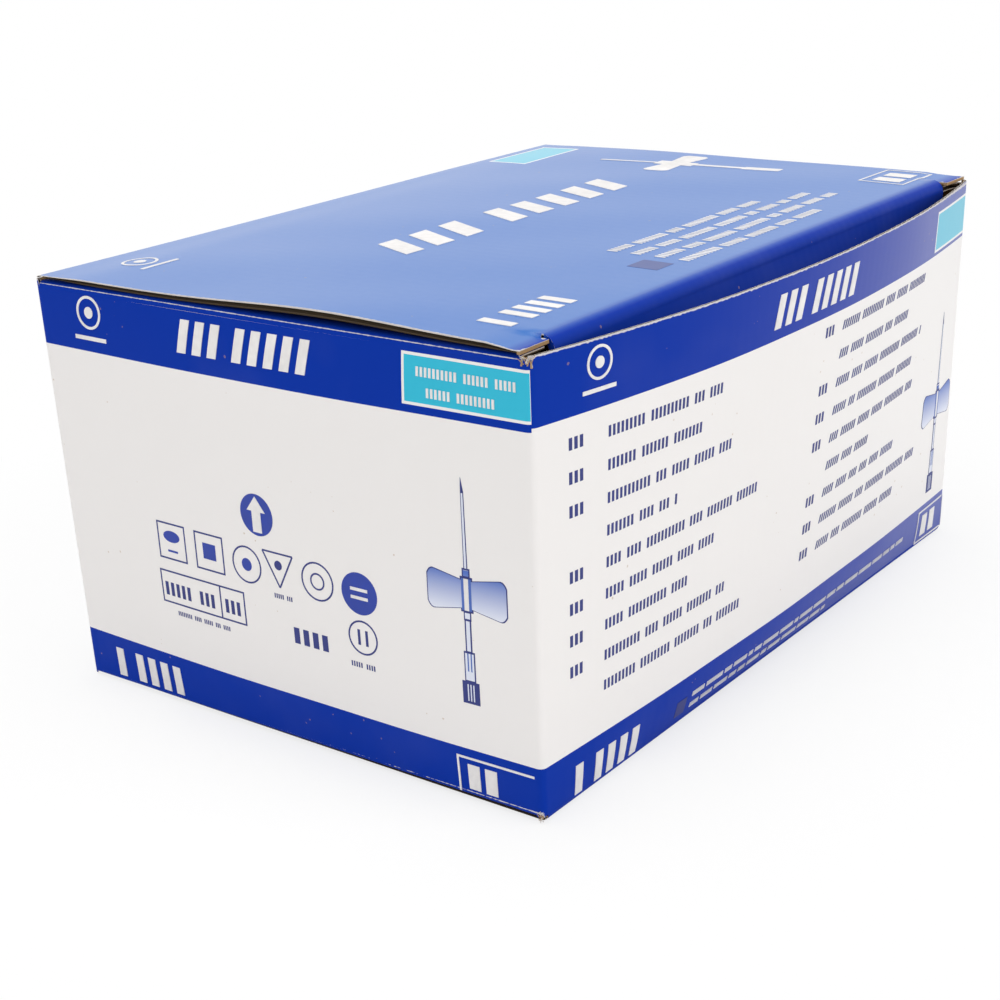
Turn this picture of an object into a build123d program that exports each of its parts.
"""Folding carton of micro-flute board with a tuck-in lid, closed, standing on its bottom.

Units are millimetres. +Z is up, the origin is the middle of the base on the ground.
The long front wall, which the lid tucks into, faces -Y and bulges. The lid is hinged along the
top of the back wall, at +Y. The two end walls face -X and +X, and the glue flap is at +X, +Y.
"""
import os
from math import pi, sin

from build123d import *

# Outside sizes of the closed carton, over the folds
box_length = 197.0
box_width = 136.0
box_height = 100.0

# Board: its thickness, the outer radius of a fold and the air between layers that aren't glued
board = 1.5
fold_radius = 1.5
layer_gap = 0.3

# Bulge of the walls: the height of each arc over its chord, and where the front one levels off
front_bow_top = 11.0
front_bow_foot = 3.0
foot_height = 12.8
end_bow = 2.0
back_bow = 0.8

# Lid: its ends stand back from the end walls, and its two ears from the front wall
lid_end_inset = 0.2
ear_set_back = 2.4
ear_slit = 0.4

# Tuck flap of the lid: it starts behind the front wall and leans out into the bulge
ear_width = 10.0
tuck_depth = 22.0
tuck_set_back = 1.3
tuck_lean = 7.5
tuck_roll = 3.0
tuck_corner = 9.0
tuck_taper = 4.0

# Dust flaps, folded in from the end walls under the lid
dust_length = 62.0
dust_end_relief = 1.2
dust_front_relief = 5.0
shoulder_gap = 1.5
dust_front_taper = 14.0
dust_back_taper = 5.0
dust_corner = 6.0

# Bottom: the panel from the front wall, its tuck flap and the two small flaps above it, glued
bottom_inset = 0.8
bottom_ear_width = 9.5
bottom_ear_set_back = 0.6
bottom_tuck_depth = 22.0
bottom_roll = 3.0
minor_length = 56.0
minor_relief = 2.0
minor_taper = 9.0
minor_corner = 5.0

# Glue flap, an extension of the back wall inside the far end wall
glue_width = 15.0
glue_end_gap = 4.0
glue_bevel = 5.0

half_length = box_length / 2
half_width = box_width / 2
lid_under = box_height - board
wall_top = lid_under - layer_gap
dust_front = board + dust_end_relief - half_width
dust_back = half_width - board - dust_end_relief
minor_half = half_width - board - minor_relief
hinge_y = half_width - board / 2
hinge_z = box_height - board / 2
flap_root = half_length - board / 2
flap_straight = half_length - fold_radius - board
tuck_reach = half_length - ear_width
bottom_tuck_reach = half_length - bottom_ear_width
tuck_face_y = tuck_set_back - half_width
tuck_fold_z = box_height - tuck_roll
far = 2 * box_length


def front_bow(z):
    """Bulge of the front wall at height z: none in the bottom fold, quick above it, then even."""
    rise = foot_height - fold_radius
    if z <= fold_radius:
        return 0.0
    if z <= foot_height:
        return front_bow_foot * sin(pi / 2 * (z - fold_radius) / rise)
    share = (z - foot_height) / (wall_top - foot_height)
    return front_bow_foot + (front_bow_top - front_bow_foot) * share


def barrel(z):
    """Share of the full bulge at height z in a wall whose top and bottom folds hold it straight."""
    low = board + fold_radius
    high = wall_top - fold_radius
    place = (2 * z - low - high) / (high - low)
    return max(0.0, 1 - place**4)


def wall_plan(z, inward):
    """Plan face at height z inside the walls' outer faces, moved inward by a thickness."""
    x = half_length - inward
    y = half_width - inward
    side = end_bow * barrel(z)
    back = back_bow * barrel(z)
    with BuildSketch(Plane.XY.offset(z)) as plan:
        with BuildLine():
            bowed_edge((-x, -y), (x, -y), (0, -1), front_bow(z))
            bowed_edge((x, -y), (x, y), (1, 0), side)
            bowed_edge((x, y), (-x, y), (0, 1), back)
            bowed_edge((-x, y), (-x, -y), (-1, 0), side)
        make_face()
        fillet(plan.vertices(), max(fold_radius - inward, layer_gap))
    return plan.sketch.faces()[0]


def bowed_edge(start, end, out, bow):
    """Edge of a plan: an arc that stands out from its chord by the bow, or the chord itself."""
    if bow == 0:
        return Line(start, end)
    middle = (Vector(*start) + Vector(*end)) / 2 + Vector(*out) * bow
    return ThreePointArc(start, middle, end)


def wall_block(inward):
    """Solid inside the walls' outer faces, or a longer one inside faces moved inward by a thickness.

    Its folds, at the foot and at the top, are ruled from plan to plan, and the wall between them is smooth.
    """
    low = board + fold_radius
    high = wall_top - fold_radius
    middle = (low + high) / 2
    rise = [low, foot_height, (foot_height + middle) / 2, middle, (middle + high) / 2, high]
    wall = loft([wall_plan(z, inward) for z in rise])
    foot = loft([wall_plan(z, inward) for z in (-inward, low)], ruled=True)
    top = loft([wall_plan(z, inward) for z in (high, wall_top + inward)], ruled=True)
    return foot + wall + top


def region(x, y, z):
    """Box between low and high limits along each axis."""
    size = [high - low for low, high in (x, y, z)]
    middle = [(high + low) / 2 for low, high in (x, y, z)]
    return Pos(*middle) * Box(*size)


def fold_waste(side, z, up, y_low, y_high):
    """What a fold along Y takes off an end wall's square edge at height z, between two places."""
    x = side * (half_length - fold_radius)
    middle = Vector(x + side * fold_radius, (y_low + y_high) / 2, z - up * fold_radius / 2)
    square = Pos(middle) * Box(2 * fold_radius, y_high - y_low, fold_radius)
    rod = Pos(x, 0, z - up * fold_radius) * Rot(90, 0, 0) * Cylinder(fold_radius, far)
    return square - rod


def quarter_roll(radius, reach):
    """Quarter of a rolled fold along X: from straight down on its -Y side to level at its top."""
    with BuildSketch(Plane.YZ) as profile:
        Circle(radius)
        Circle(radius - board, mode=Mode.SUBTRACT)
        Rectangle(radius, radius, align=(Align.MAX, Align.MIN), mode=Mode.INTERSECT)
    return extrude(profile.sketch, reach, both=True)


def flap_plate(corners, radii, low):
    """Flat flap: a plan outline with one rounding for each corner, one board thick above low."""
    with BuildSketch(Plane.XY.offset(low)) as plan:
        with BuildLine():
            Polyline(*corners, close=True)
        make_face()
        for corner, radius in zip(corners, radii):
            if radius > 0:
                fillet(plan.vertices().sort_by_distance((*corner, low))[0], radius)
    return extrude(plan.sketch, board)


def make_walls():
    """Tube of the four walls with the layers glued inside it, cut level with the bottom panel's top.

    Only the front wall runs down to the ground, beside the bottom panel.
    """
    hollow = wall_block(board)
    second_layer = wall_block(2 * board)
    for place in (bottom_tuck_place(), glue_flap_place()):
        hollow -= place - second_layer
    walls = wall_block(0) - hollow
    return walls - region((-far, far), (board - half_width, far), (-board, board))


def bottom_tuck_place():
    """Where the bottom's tuck flap lies inside the back wall."""
    reach = bottom_tuck_reach
    return region((-reach, reach), (0, far), (bottom_roll, bottom_tuck_depth))


def glue_flap_place():
    """Where the glue flap lies inside the far end wall, its two ends cut on a slant."""
    front = half_width - board - glue_width
    low = board + glue_end_gap
    high = wall_top - board - glue_end_gap
    place = region((0, far), (front, half_width), (low, high))
    for z, up in ((low, 1), (high, -1)):
        with BuildSketch(Plane.YZ) as slant:
            with BuildLine():
                Polyline((front, z), (front + glue_width, z), (front, z + up * glue_bevel), close=True)
            make_face()
        place -= extrude(slant.sketch, far)
    return place


def make_dust_flap(side):
    """Flap folded in from an end wall at the top: a shoulder that the lid's slit locks on, then a taper."""
    tip = side * (half_length - dust_length)
    shoulder = side * (tuck_reach + shoulder_gap)
    front = dust_front_relief - half_width
    corners = [
        (side * flap_root, dust_front),
        (shoulder, dust_front),
        (shoulder, front),
        (tip, front + dust_front_taper),
        (tip, dust_back - dust_back_taper),
        (side * flap_straight, dust_back),
        (side * flap_root, dust_back),
    ]
    return flap_plate(corners, [0, 0, 0, dust_corner, dust_corner, 0, 0], wall_top - board)


def make_minor_flap(side):
    """Small flap folded in from an end wall at the bottom, on top of the bottom panel."""
    root = side * flap_root
    straight = side * flap_straight
    tip = side * (half_length - minor_length)
    narrow = minor_half - minor_taper
    corners = [
        (root, -minor_half),
        (straight, -minor_half),
        (tip, -narrow),
        (tip, narrow),
        (straight, minor_half),
        (root, minor_half),
    ]
    return flap_plate(corners, [0, 0, minor_corner, minor_corner, 0, 0], board)


def make_bottom():
    """Bottom panel from the front wall, with ears and a tuck flap rolled up inside the back wall."""
    ends = half_length - bottom_inset
    roll_y = half_width - board - bottom_roll
    reach = bottom_tuck_reach
    bottom = region((-ends, ends), (board / 2 - half_width, roll_y), (0, board))
    for side in (-1, 1):
        x = sorted((side * (reach + ear_slit), side * ends))
        bottom += region(x, (roll_y, half_width - bottom_ear_set_back), (0, board))
    roll = Pos(0, roll_y, bottom_roll) * Rot(180, 0, 0) * quarter_roll(bottom_roll, reach)
    return bottom + roll


def make_carton():
    """The folded and glued blank without its lid, its square edges rounded last where it is folded."""
    carton = make_walls() + make_bottom()
    for side in (-1, 1):
        carton += make_dust_flap(side)
        carton += make_minor_flap(side)
    for side in (-1, 1):
        carton -= fold_waste(side, wall_top, 1, dust_front, dust_back)
        carton -= fold_waste(side, board, -1, -minor_half, minor_half)
    corner = region((-far, far), (-far, fold_radius - half_width), (-board, fold_radius))
    rod = Pos(0, fold_radius - half_width, fold_radius) * Rot(0, 90, 0) * Cylinder(fold_radius, 2 * far)
    return carton - (corner - rod)


def make_tuck_flap():
    """Flap that goes down behind the front wall: straight at its fold, bowed out at its free edge."""
    reach = tuck_reach
    top = Plane.XY.offset(tuck_fold_z)
    tip = Plane.XY.offset(box_height - tuck_depth)
    faces = []
    for plane, lean in ((top, 0), (tip, tuck_lean)):
        with BuildSketch(plane) as strip:
            with BuildLine():
                outer = bowed_edge((-reach, tuck_face_y), (reach, tuck_face_y), (0, -1), lean)
                inner = bowed_edge((reach, tuck_face_y + board), (-reach, tuck_face_y + board), (0, -1), lean)
                Line(outer @ 1, inner @ 0)
                Line(inner @ 1, outer @ 0)
            make_face()
        faces.append(strip.sketch.faces()[0])
    flap = loft(faces, ruled=True)
    with BuildSketch(Plane.XZ) as outline:
        with BuildLine():
            low = box_height - tuck_depth
            narrow = reach - tuck_taper
            Polyline((-reach, tuck_fold_z), (reach, tuck_fold_z), (narrow, low), (-narrow, low), close=True)
        make_face()
        fillet(outline.vertices().group_by(Axis.Z)[0], tuck_corner)
    return flap & extrude(outline.sketch, far, both=True)


def make_lid():
    """Lid panel with a round hinge edge at the back, two ears and the rolled tuck flap in front."""
    ends = half_length - lid_end_inset
    ear_y = ear_set_back - half_width
    roll_y = tuck_face_y + tuck_roll
    slit = tuck_reach + ear_slit
    panel = region((-ends, ends), (roll_y, hinge_y), (lid_under, box_height))
    for side in (-1, 1):
        x = sorted((side * slit, side * ends))
        panel += region(x, (ear_y, roll_y), (lid_under, box_height))
    hinge = Pos(0, hinge_y, hinge_z) * Rot(0, 90, 0) * Cylinder(board / 2, 2 * ends)
    roll = Pos(0, roll_y, tuck_fold_z) * quarter_roll(tuck_roll, tuck_reach)
    return panel + hinge + roll + make_tuck_flap()


os.makedirs("parts", exist_ok=True)
for name, solid in {"carton": make_carton(), "lid": make_lid()}.items():
    export_step(solid, "parts/" + name + ".step")
    print(name, "solids", len(solid.solids()), "valid", solid.is_valid, "mm3", round(solid.volume))
